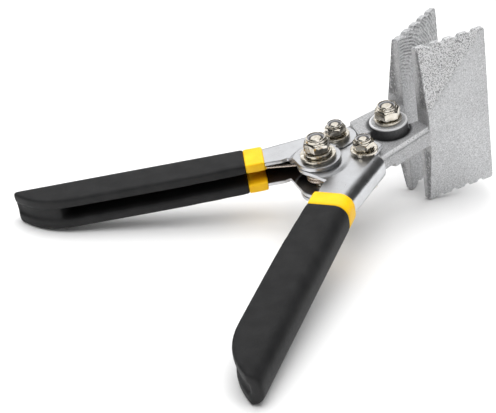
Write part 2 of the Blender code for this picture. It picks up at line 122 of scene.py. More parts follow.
# thread radius, half across flats, nut height, head height
LARGE = (3.0, 5.0, 6.0, 4.0)
SMALL = (2.5, 4.0, 5.0, 3.5)
WIDE_WASHER = (7.6, 1.5)
LARGE_WASHER = (6.0, 1.5)
SMALL_WASHER = (5.8, 1.6)
GAP = 0.15
CORNER_RATIO = 1.165
THREAD_PITCH = 1.0
THREAD_DEPTH = 0.3

WIRE_RADIUS = 0.76
COIL_RADIUS = 5.48
COIL_TURNS = 2
LEG_Z = 1.81
LEG_ANGLE = 10.3
LEG_END = 34
SLEEVE_RADIUS = 1.15

WELD_DISTANCE = 0.002
BEYOND = 40  # past a handle's web, for the far side of a cutting outline

# How far each nut and each bolt head is turned
LINK_TURNS = {"a": (21, 20), "b": (7, 40)}
JAW_TURNS = (37, 10)
HINGE_TURNS = (39, 25)

# Camera, in the tool's frame
CAM_AZIMUTH = -31.27
CAM_ELEVATION = 34.12
CAM_ROLL = -10.75
CAM_SHIFT = (-61.15, -31.2)
CAM_DISTANCE = 562.96
CAM_LENS = 94.7

# ---------------------------------------------------------------- frames

JOINTS = {joint["name"]: joint for joint in frame["joints"]}


def tool_matrix():
    """From the tool's frame in mm to the row frame in metres."""
    up = -Vector(JOINTS["handle_hinge"]["axis"]).normalized()
    hinge = Vector(JOINTS["handle_hinge"]["pos_m"])
    links = (Vector(JOINTS["jaw_a_pivot"]["pos_m"]) + Vector(JOINTS["jaw_b_pivot"]["pos_m"])) / 2
    forward = (links - hinge).normalized()
    side = up.cross(forward)
    origin = hinge + forward * HINGE_BACK * 0.001
    matrix = Matrix((forward, side, up)).transposed().to_4x4()
    matrix.translation = origin
    return matrix @ Matrix.Scale(0.001, 4)


TOOL = tool_matrix()
TURN_OVER = Matrix.Rotation(math.pi, 4, "X")


def turn(degrees):
    return Matrix.Rotation(math.radians(degrees), 4, "Z")


def shift(x, y, z=0.0):
    return Matrix.Translation((x, y, z))


LINK_IN_JAW = turn(-JAW_OPEN) @ Vector((-LINK_BACK, LINK_SIDE, 0))
LINK_IN_HANDLE = turn(HANDLE_OPEN) @ Vector((HINGE_BACK - LINK_BACK, LINK_SIDE, 0))
SIDES = {"a": (1, Matrix.Identity(4)), "b": (-1, TURN_OVER)}
JAW_FRAME = {k: TOOL @ turn(side * JAW_OPEN) @ flip for k, (side, flip) in SIDES.items()}
HANDLE_FRAME = {k: TOOL @ shift(-HINGE_BACK, 0) @ turn(-side * HANDLE_OPEN) @ flip
                for k, (side, flip) in SIDES.items()}

# ---------------------------------------------------------------- mesh helpers


def new_object(name, mesh):
    obj = bpy.data.objects.new(name, mesh)
    bpy.context.scene.collection.objects.link(obj)
    return obj


def bake(obj):
    """Replace an object by a plain mesh object of its evaluated shape."""
    bpy.context.view_layer.update()
    graph = bpy.context.evaluated_depsgraph_get()
    mesh = bpy.data.meshes.new_from_object(obj.evaluated_get(graph))
    mesh.transform(obj.matrix_world)
    bpy.data.objects.remove(obj, do_unlink=True)
    return new_object("work", mesh)


def weld(obj):
    shape = bmesh.new()
    shape.from_mesh(obj.data)
    bmesh.ops.remove_doubles(shape, verts=shape.verts, dist=WELD_DISTANCE)
    bmesh.ops.dissolve_degenerate(shape, edges=shape.edges, dist=WELD_DISTANCE)
    bmesh.ops.recalc_face_normals(shape, faces=shape.faces)
    shape.to_mesh(obj.data)
    shape.free()
    return obj


def combine(base, other, operation):
    modifier = base.modifiers.new("cut", "BOOLEAN")
    modifier.operation = operation
    modifier.solver = "EXACT"
    modifier.object = other
    result = weld(bake(base))
    bpy.data.objects.remove(other, do_unlink=True)
    return result


def prism(points, low, high):
    data = bpy.data.curves.new("outline", "CURVE")
    data.dimensions = "2D"
    data.fill_mode = "BOTH"
    data.extrude = (high - low) / 2
    spline = data.splines.new("POLY")
    spline.points.add(len(points) - 1)
    for point, (x, y) in zip(spline.points, points):
        point.co = (x, y, 0, 1)
    spline.use_cyclic_u = True
    obj = new_object("outline", data)
    obj.location.z = (high + low) / 2
    return weld(bake(obj))


def arc(centre, radius, start, end, count):
    angles = [math.radians(start + (end - start) * i / count) for i in range(count + 1)]
    return [(centre[0] + radius * math.cos(a), centre[1] + radius * math.sin(a)) for a in angles]


def disc(centre, radius, low, high, sides=64):
    return prism(arc(centre, radius, 0, 360 - 360 / sides, sides - 1), low, high)


def hull(points):
    mesh = bpy.data.meshes.new("hull")
    shape = bmesh.new()
    verts = [shape.verts.new(p) for p in points]
    bmesh.ops.convex_hull(shape, input=verts)
    shape.to_mesh(mesh)
    shape.free()
    return weld(new_object("hull", mesh))


def turned(profile, steps=72):
    """A closed (radius, height) profile turned round Z."""
    mesh = bpy.data.meshes.new("profile")
    count = len(profile)
    mesh.from_pydata([(r, 0, z) for r, z in profile], [(i, (i + 1) % count) for i in range(count)], [])
    obj = new_object("profile", mesh)
    screw = obj.modifiers.new("turn", "SCREW")
    screw.steps = screw.render_steps = steps
    screw.use_merge_vertices = True
    screw.merge_threshold = 0.001
    return weld(bake(obj))


def moved(obj, matrix):
    obj.data.transform(matrix)
    return obj


def remeshed(obj, voxel, smoothing):
    """Voxel remesh, then relax: every edge of the solid comes out rounded."""
    modifier = obj.modifiers.new("voxels", "REMESH")
    modifier.mode = "VOXEL"
    modifier.voxel_size = voxel
    modifier.adaptivity = 0
    relax = obj.modifiers.new("relax", "SMOOTH")
    relax.factor = 0.5
    relax.iterations = smoothing
    return bake(obj)


def bevelled(obj, width, segments, angle):
    modifier = obj.modifiers.new("edges", "BEVEL")
    modifier.width = width
    modifier.segments = segments
    modifier.limit_method = "ANGLE"
    modifier.angle_limit = math.radians(angle)
    modifier.use_clamp_overlap = True
    return bake(obj)


def piece(name, work, matrix, body, nodes, material, sharp=None):
    """A finished piece: in place in the row frame, riding on its body, for its CAD nodes."""
    mesh = work.data.copy()
    mesh.name = name
    points = np.zeros(len(mesh.vertices) * 3, np.float32)
    mesh.vertices.foreach_get("co", points)
    attribute = mesh.attributes.new("local_mm", "FLOAT_VECTOR", "POINT")
    attribute.data.foreach_set("vector", points)
    mesh.transform(matrix)
    mesh.materials.clear()
    mesh.materials.append(material)
    mesh.shade_smooth()
    if sharp:
        mesh.set_sharp_from_angle(angle=math.radians(sharp))
    obj = new_object(name, mesh)
    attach(obj, body)
    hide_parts(*nodes)
    return obj


def discard(*works):
    for work in works:
        bpy.data.objects.remove(work, do_unlink=True)


# ---------------------------------------------------------------- material helpers

class Shader:
    """A Principled material whose nodes are added one call at a time."""

    def __init__(self, name, colour, metallic, roughness):
        self.material = bpy.data.materials.new(name)
        self.material.use_nodes = True
        self.nodes = self.material.node_tree.nodes
        self.links = self.material.node_tree.links
        self.main = self.nodes["Principled BSDF"]
        self.main.inputs["Base Color"].default_value = (*colour, 1)
        self.main.inputs["Metallic"].default_value = metallic
        self.main.inputs["Roughness"].default_value = roughness
        local = self.nodes.new("ShaderNodeAttribute")
        local.attribute_name = "local_mm"
        self.local = local.outputs["Vector"]

    def put(self, socket, value):
        if isinstance(value, bpy.types.NodeSocket):
            self.links.new(value, socket)
        elif isinstance(value, tuple) and len(value) == 3 and len(socket.default_value) == 4:
            socket.default_value = (*value, 1)
        else:
            socket.default_value = value

    def set(self, name, value):
        self.put(self.main.inputs[name], value)

    def math(self, operation, a, b=0.0, c=0.0):
        node = self.nodes.new("ShaderNodeMath")
        node.operation = operation
        for socket, value in zip(node.inputs, (a, b, c)):
            self.put(socket, value)
        return node.outputs[0]

    def times(self, first, *others):
        for other in others:
            first = self.math("MULTIPLY", first, other)
        return first

    def without(self, share):
        return self.math("SUBTRACT", 1.0, share)

    def distance(self, a, b):
        return self.math("SQRT", self.math("ADD", self.math("POWER", a, 2.0), self.math("POWER", b, 2.0)))

    def axis(self, name, vector=None):
        node = self.nodes.new("ShaderNodeSeparateXYZ")
        self.put(node.inputs[0], vector or self.local)
        return node.outputs[name]

    def scaled(self, scale, offset=(0, 0, 0)):
        node = self.nodes.new("ShaderNodeMapping")
        self.put(node.inputs["Vector"], self.local)
        node.inputs["Scale"].default_value = scale
        node.inputs["Location"].default_value = offset
        return node.outputs[0]

    def noise(self, scale, detail=3.0, rough=0.55, vector=None):
        node = self.nodes.new("ShaderNodeTexNoise")
        self.put(node.inputs["Vector"], vector or self.local)
        node.inputs["Scale"].default_value = scale
        node.inputs["Detail"].default_value = detail
        node.inputs["Roughness"].default_value = rough
        return node.outputs["Fac"]

    def cells(self, scale):
        node = self.nodes.new("ShaderNodeTexVoronoi")
        self.put(node.inputs["Vector"], self.local)
        node.inputs["Scale"].default_value = scale
        return node.outputs["Distance"]

    def ramp(self, value, *stops):
        """stops: (position, grey)"""
        node = self.nodes.new("ShaderNodeValToRGB")
        self.put(node.inputs[0], value)
        ramp = node.color_ramp
        ramp.interpolation = "EASE"
        for element, (position, grey) in zip(ramp.elements, stops):
            element.position = position
            element.color = (grey, grey, grey, 1)
        return node.outputs["Color"]

    def span(self, value, low, high, to_low=0.0, to_high=1.0):
        node = self.nodes.new("ShaderNodeMapRange")
        node.interpolation_type = "SMOOTHSTEP"
        for socket, given in zip(node.inputs, (value, low, high, to_low, to_high)):
            self.put(socket, given)
        return node.outputs[0]

    def mix(self, share, a, b):
        node = self.nodes.new("ShaderNodeMix")
        node.data_type = "RGBA"
        self.put(node.inputs[0], share)
        self.put(node.inputs[6], a)
        self.put(node.inputs[7], b)
        return node.outputs[2]

    def edges(self, low, high):
        """Where the surface is convex: 0 on flats, 1 on sharp edges."""
        node = self.nodes.new("ShaderNodeNewGeometry")
        return self.span(node.outputs["Pointiness"], low, high)

    def bump(self, height, distance_mm, strength=1.0, normal=None):
        node = self.nodes.new("ShaderNodeBump")
        self.put(node.inputs["Height"], height)
        node.inputs["Distance"].default_value = distance_mm * 0.001
        self.put(node.inputs["Strength"], strength)
        if normal is not None:
            self.put(node.inputs["Normal"], normal)
        return node.outputs[0]


def cast_material():
    """Cast light metal: one hip coarse, with painted sparkle glints, the rest finer, grinding arcs on the
    face, and painted shade and highlights.
    """
    m = Shader("cast_metal", (0.6, 0.61, 0.63), 0.55, 0.45)
    x, y, z = (m.axis(k) for k in "XYZ")
    height = m.math("ABSOLUTE", z)
    grain = m.noise(1.9, 4.0, 0.75)
    fine = m.noise(1.7, 4.0, 0.72)
    broad = m.noise(0.05, 2.0, 0.5)

    # Regions. The hips lie above the ridges that run from the arm's root to the front corners,
    # and only the one at negative Z is coarse, which side B turns to the top.
    ridge_slope = (BLADE_HEIGHT / 2 - ROOT_HALF) / BLADE_DEPTH
    ridge = m.math("ADD", ROOT_HALF, m.times(m.math("SUBTRACT", x, BLADE_BACK), ridge_slope))
    hip = m.span(m.math("SUBTRACT", height, ridge), -1.2, 2.0)
    outside = m.span(y, 0.8, 1.8)
    on_blade = m.span(x, BLADE_BACK + 0.4, BLADE_BACK + 1.6)
    on_arm = m.without(on_blade)
    coarse = m.times(hip, outside, on_blade, m.span(z, 4.0, -4.0, 0.12, 1.0))
    face = m.times(m.without(m.span(y, 0.45, 0.75)), on_blade)

    # Even grey with dark specks and bright specks that are painted glints, painted shade on the arm, and a
    # pitted hip with painted glints
    base = m.mix(m.span(broad, 0.3, 0.7), (0.50, 0.505, 0.515), (0.55, 0.555, 0.565))
    # bright specks: painted sparkle glints
    base = m.mix(m.times(m.span(fine, 0.50, 0.62), 0.6), base, (0.88, 0.88, 0.89))
    base = m.mix(m.times(m.span(fine, 0.46, 0.36), 0.7), base, (0.22, 0.22, 0.225))
    # painted shade: the arm's colour is darkened for the shade the blade casts on it
    arm_painted_shade_colour = m.mix(m.span(grain, 0.4, 0.6), (0.16, 0.16, 0.165), (0.55, 0.55, 0.56))
    base = m.mix(m.times(on_arm, 0.45), base, arm_painted_shade_colour)
    # the hip's white specks are painted glints; its dark specks and pits are the metal's grain
    hip_grain_and_glints = m.mix(m.span(grain, 0.41, 0.52), (0.15, 0.15, 0.155), (0.97, 0.97, 0.98))
    colour = m.mix(m.times(coarse, 0.8), base, hip_grain_and_glints)
    pits = m.ramp(m.cells(0.42), (0.0, 1.0), (0.11, 0.0))
    pit_share = m.times(pits, m.math("MULTIPLY_ADD", coarse, 0.35, 0.15))
    colour = m.mix(pit_share, colour, (0.05, 0.05, 0.055))

    # A rough dark line behind the hips
    along_back = m.times(m.span(x, BLADE_BACK + 1.5, BLADE_BACK + 0.9), outside)
    patchy = m.times(m.span(m.noise(0.7, 4.0, 0.7), 0.36, 0.5), m.span(height, 9.0, 12.0))
    back_edge = m.times(along_back, patchy, m.span(x, BLADE_BACK + 0.2, BLADE_BACK + 0.6))
    colour = m.mix(m.times(back_edge, 0.75), colour, (0.09, 0.09, 0.095))

    # Painted shade on and round the raised boss's wall, and a painted highlight on its rim
    radius = m.distance(x, y)
    boss_wall_shade = m.times(m.span(radius, JAW_EYE_RADIUS - 0.35, JAW_EYE_RADIUS - 0.1),
                   m.span(radius, JAW_EYE_RADIUS + 2.2, JAW_EYE_RADIUS + 0.8),
                   m.span(height, JAW_EYE_TOP - 0.15, JAW_EYE_TOP - 0.9))
    # painted shade on the boss wall and round its base
    colour = m.mix(m.times(boss_wall_shade, 0.9), colour, (0.04, 0.04, 0.042))
    # painted highlight on the boss's rounded rim
    boss_rim_highlight = m.times(m.span(radius, JAW_EYE_RADIUS - 1.1, JAW_EYE_RADIUS - 0.6),
                  m.span(height, JAW_EYE_TOP - 0.7, JAW_EYE_TOP - 0.3),
                  m.span(radius, JAW_EYE_RADIUS + 0.6, JAW_EYE_RADIUS + 0.2))
    colour = m.mix(m.times(boss_rim_highlight, 0.8), colour, (0.93, 0.93, 0.94))

    # Bright edges, partly wear and partly painted highlight, a painted highlight along the arm's long outer
    # bevel, and painted shade in hollows
    bevel_slope = 0.367
    bevel_out = 14.3
    line = m.math("MULTIPLY_ADD", x, bevel_slope, y)
    line = m.math("ABSOLUTE", m.math("SUBTRACT", line, bevel_out))
    # painted highlight along the arm's outer bevel, which faces the overhead light
    bevel_highlight = m.times(m.span(line, 1.9, 0.9), m.span(z, ARM_BOTTOM + 1.5, ARM_BOTTOM + 0.7), on_arm,
                    m.span(grain, 0.3, 0.5, 0.5, 1.0))
    # bright convex edges: partly wear, partly painted highlight
    wear_and_highlight = m.math("MAXIMUM", m.times(m.edges(0.53, 0.60), m.span(fine, 0.3, 0.6, 0.4, 1.0)), bevel_highlight)
    colour = m.mix(m.times(wear_and_highlight, 0.85), colour, (0.95, 0.95, 0.96))
    # painted shade: concave hollows darkened
    colour = m.mix(m.times(m.edges(0.49, 0.43), 0.75), colour, (0.10, 0.10, 0.105))

    # Grinding arcs on the working face, deep at the top and dying out downwards
    centre = m.scaled((1, 1, 1), (-14.0, 0, -14.0))
    reach = m.distance(m.axis("X", centre), m.axis("Z", centre))
    wobble = m.math("MULTIPLY_ADD", m.noise(0.12, 2.0), 3.0, reach)
    arcs = m.math("SINE", m.times(wobble, 4.4))
    broken = m.span(m.noise(0.35, 3.0, 0.6), 0.38, 0.58, 0.15, 1.0)
    depth = m.times(face, broken, m.span(z, 2, 32, 0.1, 1.0))
    colour = m.mix(m.times(depth, m.span(arcs, 0.3, 0.9, 0.0, 0.7)), colour, (0.12, 0.12, 0.125))

    m.set("Base Color", colour)
    m.set("Roughness", m.math("SUBTRACT", m.math("MULTIPLY_ADD", fine, 0.35, 0.24), m.times(wear_and_highlight, 0.12)))
    sand = m.times(m.math("MULTIPLY_ADD", coarse, 0.6, 0.35), m.without(face))
    m.set("Normal", m.bump(arcs, -0.2, depth, m.bump(fine, 0.3, 0.6, m.bump(grain, 0.45, sand))))
    return m.material


def plated_material():
    """Zinc-plated rolled sheet: satin, faintly clouded, and painted near black inside the channel as shade.
    """
    m = Shader("plated_sheet", (0.66, 0.67, 0.69), 1.0, 0.2)
    cloud = m.noise(0.12, 4.0, 0.6)
    grain = m.noise(0.5, 3.0, 0.6, m.scaled((0.35, 3.0, 3.0)))
    scuff = m.ramp(m.noise(0.7, 5.0, 0.75, m.scaled((1, 1.6, 1), (4, 2, 9))), (0.56, 0.0), (0.75, 1.0))
    outer_sheet_colour = m.mix(m.span(cloud, 0.3, 0.7), (0.60, 0.605, 0.62), (0.70, 0.71, 0.73))
    # The channel's inner side, between the flanges and inwards of the web, painted near black as shade
    flange_inside = (4.3, 4.6)
    web_inside = (23.2, 23.6)
    web_slope = -0.172
    low = m.without(m.span(m.math("ABSOLUTE", m.axis("Z")), *flange_inside))
    web = m.math("MULTIPLY_ADD", m.axis("X"), web_slope, m.axis("Y"))
    inner = m.times(low, m.without(m.span(web, *web_inside)))
    # painted highlight: lighter colour on convex edges
    outer_sheet_colour = m.mix(m.times(m.edges(0.52, 0.60), 0.7), outer_sheet_colour, (0.9, 0.9, 0.91))
    # painted shade: near black base colour inside the channel
    m.set("Base Color", m.mix(inner, outer_sheet_colour, m.mix(grain, (0.012, 0.008, 0.006), (0.045, 0.032, 0.026))))
    m.set("Metallic", m.without(m.times(inner, 0.8)))
    rough = m.math("MULTIPLY_ADD", grain, 0.09, 0.23)
    rough = m.math("MULTIPLY_ADD", m.span(cloud, 0.3, 0.75), 0.08, rough)
    rough = m.math("MULTIPLY_ADD", scuff, 0.12, rough)
    m.set("Roughness", m.math("MULTIPLY_ADD", inner, 0.25, rough))
    m.set("Normal", m.bump(m.noise(1.6, 4.0, 0.65), 0.03, 0.35, m.bump(cloud, 0.5, 0.12)))
    return m.material


def nickel_material():
    """Nickel-plated fasteners: nearly polished, warm, with small dents, painted highlights on the edges and
    painted shade in hollows.
    """
    m = Shader("nickel_plate", (0.7, 0.66, 0.58), 1.0, 0.1)
    patch = m.noise(0.45, 3.0, 0.6)
    colour = m.mix(m.span(patch, 0.35, 0.7), (0.60, 0.55, 0.46), (0.76, 0.72, 0.65))
    # painted highlight on convex edges
    colour = m.mix(m.times(m.edges(0.53, 0.62), 0.8), colour, (0.93, 0.91, 0.87))
    # painted shade in concave hollows
    m.set("Base Color", m.mix(m.times(m.edges(0.47, 0.40), 0.8), colour, (0.10, 0.08, 0.06)))
    m.set("Roughness", m.span(m.noise(1.3, 4.0, 0.7), 0.3, 0.75, 0.08, 0.26))
    m.set("Normal", m.bump(m.noise(0.55, 2.0, 0.5), 0.4, 0.5, m.bump(m.noise(3.0, 3.0), 0.03, 0.5)))
    return m.material


def wire_material():
    """Drawn spring wire, warm grey with faint lines."""
    m = Shader("spring_wire", (0.62, 0.54, 0.47), 1.0, 0.28)
    lines = m.noise(2.5, 3.0, 0.6)
    m.set("Base Color", m.mix(m.span(lines, 0.35, 0.7), (0.52, 0.44, 0.37), (0.74, 0.66, 0.59)))
    m.set("Roughness", m.span(lines, 0.3, 0.7, 0.2, 0.38))
    m.set("Normal", m.bump(lines, 0.03, 0.5))
    return m.material


def vinyl_material(name, dark, light, rough):
    """Dipped vinyl: matt, with the fine grain and the slow ripple of a thick coat, and painted highlights on
    its edges.
    """
    m = Shader(name, light, 0.0, rough)
    grain = m.noise(1.9, 4.0, 0.7)
    cloud = m.noise(0.16, 3.0, 0.55)
    colour = m.mix(m.span(cloud, 0.25, 0.75), dark, light)
    # painted highlight: lighter colour on convex edges
    edge_highlight = m.times(m.edges(0.515, 0.56), m.span(grain, 0.35, 0.65, 0.1, 0.45))
    m.set("Base Color", m.mix(edge_highlight, colour, tuple(min(1.0, 1.5 * c + 0.012) for c in light)))
    m.set("Roughness", m.math("MULTIPLY_ADD", grain, 0.16, rough - 0.08))
    ripple = m.bump(cloud, 0.8, 0.15)
    m.set("Normal", m.bump(grain, 0.22, 0.55, ripple))
    m.main.inputs["Specular IOR Level"].default_value = 0.3
    return m.material


def nylon_material():
    """The greyish nylon of the lock nuts' rings."""
    m = Shader("nylon_ring", (0.42, 0.42, 0.44), 0.0, 0.45)
    m.set("Base Color", m.mix(m.noise(1.2), (0.30, 0.30, 0.32), (0.5, 0.5, 0.52)))
    m.set("Normal", m.bump(m.noise(4.0), 0.03, 0.4))
    return m.material


# ---------------------------------------------------------------- jaws

def blade():
    """A tapering plate with two ridges outside, a flat working face and notched edges."""
    front = BLADE_BACK + BLADE_DEPTH
    half = BLADE_HEIGHT / 2
    points = []
    for z in (-half, half):
        points += [(BLADE_BACK, BLADE_FACE, z), (front, BLADE_FACE, z), (front, TIP_THICK, z)]
        points.append((BLADE_BACK + ROOT_DRAFT * CORNER_THICK, CORNER_THICK, z))
    for z in (-ROOT_HALF, ROOT_HALF):
        points.append((BLADE_BACK + ROOT_DRAFT * ROOT_THICK, ROOT_THICK, z))
    work = hull(points)
    # The two front corners are rounded, with an outline in the plane of the face
    corner = 1.5
    outline = []
    for cx, cz, start in ((front - corner, half - corner, 0), (BLADE_BACK - 4, half - corner, 90),
                          (BLADE_BACK - 4, corner - half, 180), (front - corner, corner - half, 270)):
        outline += arc((cx, cz), corner, start, start + 90, 6)
    frame_cut = moved(prism(outline, -20, 20), Matrix.Rotation(math.pi / 2, 4, "X"))
    work = combine(work, frame_cut, "INTERSECT")
    for side in (-1, 1):
        for index in range(1, 5):
            cutter = disc((0, 0), NOTCH_RADIUS, -4, 12, 24)
            place = shift(BLADE_BACK + index * NOTCH_PITCH, 0, side * half)
            place = place @ Matrix.Rotation(-math.pi / 2, 4, "X")
            work = combine(work, moved(cutter, place), "DIFFERENCE")
    return work


def arm_outline():
    px, py = LINK_IN_JAW.x, LINK_IN_JAW.y
    root, inner = ARM_ROOT, ARM_INNER_CORNER
    outer_way = math.degrees(math.atan2(py - root[1], px - root[0]))
    outer_reach = math.hypot(px - root[0], py - root[1])
    outer_start = outer_way + math.degrees(math.acos(TAIL_RADIUS / outer_reach)) - 180
    inner_way = math.degrees(math.atan2(inner[1] - py, inner[0] - px))
    inner_reach = math.hypot(px - inner[0], py - inner[1])
    inner_end = inner_way - math.degrees(math.acos(TAIL_RADIUS / inner_reach)) + 360
    tail = arc((px, py), TAIL_RADIUS, outer_start, inner_end, 32)
    return [(root[0], BLADE_FACE), root] + tail + [inner, (0, BLADE_FACE)]


def arm_chamfer(start, end):
    """Cuts the long edge along the arm's outer side."""
    along = Vector((end[0] - start[0], end[1] - start[1], 0)).normalized()
    out = Vector((along.y, -along.x, 0))
    extra = 0.5
    points = []
    for corner, reach in ((start, -1.9), (end, -0.3)):
        base = Vector((*corner, ARM_BOTTOM)) + along * reach
        points.append(base + out * extra + Vector((0, 0, ARM_CHAMFER + extra)))
        points.append(base + out * extra - Vector((0, 0, extra)))
        points.append(base - out * (ARM_CHAMFER + extra) - Vector((0, 0, extra)))
    return hull(points)


def jaw():
    """Arm, tail, eye with its boss and pocket, ramp up to the blade, and the blade."""
    px, py = LINK_IN_JAW.x, LINK_IN_JAW.y
    reach = 30
    outline = arm_outline()
    work = prism(outline, ARM_BOTTOM, ARM_TOP)
    work = combine(work, arm_chamfer(outline[1], outline[2]), "DIFFERENCE")
    tail_box = [(-reach, -reach), (SHOULDER, -reach), (SHOULDER, reach), (-reach, reach)]
    tail_place = shift(px, py) @ Matrix.Rotation(math.atan2(-py, -px), 4, "Z")
    work = combine(work, moved(prism(tail_box, TAIL_HALF, reach), tail_place), "DIFFERENCE")
    work = combine(work, disc((0, 0), POCKET_RADIUS, -reach, GAP, 80), "DIFFERENCE")
    work = combine(work, disc((0, 0), JAW_EYE_RADIUS, GAP, JAW_EYE_TOP, 72), "UNION")
    work = combine(work, disc((px, py), TAIL_RADIUS + 0.1, -TAIL_HALF, TAIL_HALF - 0.02, 56), "UNION")
    slope = (ARM_ROOT[1] - py - TAIL_RADIUS) / (ARM_ROOT[0] - px)
    ramp = []
    for x, top in ((POCKET_RADIUS + 0.4, ARM_TOP), (ARM_RAMP_END, ARM_ROOT_TOP)):
        edge = ARM_ROOT[1] + slope * (x - ARM_ROOT[0]) - 0.3
        for y in (BLADE_FACE, edge):
            ramp += [(x, y, ARM_TOP - 2), (x, y, top)]
    work = combine(work, hull(ramp), "UNION")
    work = combine(work, blade(), "UNION")
    work = combine(work, disc((0, 0), LARGE[0] + 0.4, -reach, reach), "DIFFERENCE")
    work = combine(work, disc((px, py), SMALL[0] + 0.3, -reach, reach), "DIFFERENCE")
    return remeshed(work, 0.31, 2)


# ---------------------------------------------------------------- handles and vinyl

def web_mid(s):
    """How far out the web's middle is, s mm behind the hinge."""
    if s < FLARE_S:
        share = (FLARE_S - s) / (FLARE_S - WEB_FRONT_S)
        return WEB_MID + (WEB_MID_FRONT - WEB_MID) * share
    return WEB_MID + (WEB_MID_REAR - WEB_MID) * (s - FLARE_S) / (REAR_S - FLARE_S)


def channel(front, rear, thickness, top_step=0.0, bottom_step=0.0):
    """Solid channel: flanges with raised eyes, bends and web, wider than needed at the free edges."""
    shape = bmesh.new()
    stations = {s for s in (rear, FLARE_S, max(front, WEB_FRONT_S)) if front <= s <= rear}
    stations = sorted(stations, reverse=True)
    flat = FLANGE_MID - BEND_RADIUS
    margin = 16
    bends = 14
    round_steps = 72

    def vert(s, n, z):
        return shape.verts.new((-s, n, z))

    for side, step in ((1, top_step), (-1, bottom_step)):
        bend = [vert(s, web_mid(s) - BEND_RADIUS, side * FLANGE_MID) for s in stations]
        outline = list(bend)
        if step:
            outline.append(vert(front, web_mid(front) - BEND_RADIUS, side * FLANGE_MID))
        outline.append(vert(min(front, stations[-1]), -margin, side * FLANGE_MID))
        outline.append(vert(rear, -margin, side * FLANGE_MID))
        edges = [shape.edges.new((a, b)) for a, b in zip(outline, outline[1:] + outline[:1])]
        if step:
            rings = []
            count = 8
            for k in range(count + 1):
                share = k / count
                radius = STEP_OUTER_RADIUS + (STEP_INNER_RADIUS - 0.4 - STEP_OUTER_RADIUS) * share
                rise = step * share * share * (3 - 2 * share)
                circle = arc((0, 0), radius, 0, 355, round_steps - 1)
                rings.append([vert(x, y, side * (FLANGE_MID + rise)) for x, y in circle])
            edges += [shape.edges.new((a, b)) for a, b in zip(rings[0], rings[0][1:] + rings[0][:1])]
            for previous, ring in zip(rings, rings[1:]):
                for i in range(round_steps):
                    j = (i + 1) % round_steps
                    shape.faces.new((previous[i], previous[j], ring[j], ring[i]))
            shape.faces.new(rings[-1])
        bmesh.ops.triangle_fill(shape, edges=edges, use_beauty=True)
        previous = bend
        for k in range(1, bends + 1):
            angle = math.radians(90 * k / bends)
            row = [vert(s, web_mid(s) - BEND_RADIUS * (1 - math.sin(angle)),
                        side * (flat + BEND_RADIUS * math.cos(angle))) for s in stations]
            for i in range(len(stations) - 1):
                shape.faces.new((previous[i], previous[i + 1], row[i + 1], row[i]))
            previous = row
        middle = [vert(s, web_mid(s), 0) for s in stations]
        for i in range(len(stations) - 1):
            shape.faces.new((previous[i], previous[i + 1], middle[i + 1], middle[i]))
    bmesh.ops.remove_doubles(shape, verts=shape.verts, dist=0.001)
    bmesh.ops.recalc_face_normals(shape, faces=shape.faces)
    mesh = bpy.data.meshes.new("channel")
    shape.to_mesh(mesh)
    shape.free()
    obj = new_object("channel", mesh)
    shell = obj.modifiers.new("sheet", "SOLIDIFY")
    shell.thickness = thickness
    shell.offset = 0
    shell.use_even_offset = True
    return weld(bake(obj))


def free_edge(s):
    """Where the flanges end, s mm behind the hinge."""
    if s <= TAPER_S:
        along = min(1, (s - FLARE_S) / EDGE_FALL_S)
        return EDGE_FRONT_N + (EDGE_MID_N - EDGE_FRONT_N) * math.sin(along * math.pi / 2)
    return EDGE_MID_N + EDGE_RISE_N * ((s - TAPER_S) / (REAR_S - TAPER_S)) ** EDGE_RISE_POWER


def grip_outline(front, rear, grow, count=60):
    points = []
    for i in range(count + 1):
        s = front + (rear - front) * math.sin(i / count * math.pi / 2)
        points.append((-s, free_edge(min(max(s - grow * i / count, FLARE_S), REAR_S)) - grow))
    return points + [(-rear, BEYOND), (-front, BEYOND)]


def handle():
    """The bare front of the stamping, down to a stub under the vinyl."""
    lx, ly = LINK_IN_HANDLE.x, LINK_IN_HANDLE.y
    stub = BAND_FRONT_S + 4
    reach = 20
    work = channel(CHANNEL_FRONT_S, stub + 6, SHEET, OUTER_EYE_STEP, INNER_EYE_STEP)
    link = arc((lx, ly), LINK_EYE_RADIUS, 90, HANDLE_OPEN - 90, 48)
    hinge = arc((0, 0), HINGE_EYE_RADIUS, HANDLE_OPEN + 2, -168, 64)
    grip = [(-s, free_edge(max(s, FLARE_S))) for s in np.linspace(EDGE_START_S, stub, 8)]
    outline = [(lx - 2, BEYOND), (lx, BEYOND)] + link + hinge + [EDGE_CORNER] + grip + [(-stub, BEYOND)]
    work = combine(work, prism(outline, -reach, reach), "INTERSECT")
    work = combine(work, disc((0, 0), LARGE[0] + 0.3, -reach, reach), "DIFFERENCE")
    work = combine(work, disc((lx, ly), SMALL[0] + 0.15, -reach, reach), "DIFFERENCE")
    return remeshed(work, 0.24, 3)


def leg_rod(radius, start, end):
    """A rod along the spring's leg, with a round tip at each end."""
    length = end - start
    tip = [(radius * math.cos(a), radius * math.sin(a)) for a in np.linspace(math.pi / 2, 0, 7)]
    profile = [(r, length - radius + z) for r, z in tip] + [(r, radius - z) for r, z in reversed(tip)]
    rod = turned([(max(r, 0), z) for r, z in profile], 24)
    angle = math.radians(LEG_ANGLE)
    along = Vector((-math.cos(angle), math.sin(angle), 0))
    touch = Vector((along.y, -along.x, 0)) * COIL_RADIUS + Vector((0, 0, LEG_Z)) + along * start
    return moved(rod, Matrix.Translation(touch) @ along.to_track_quat("Z", "Y").to_matrix().to_4x4())


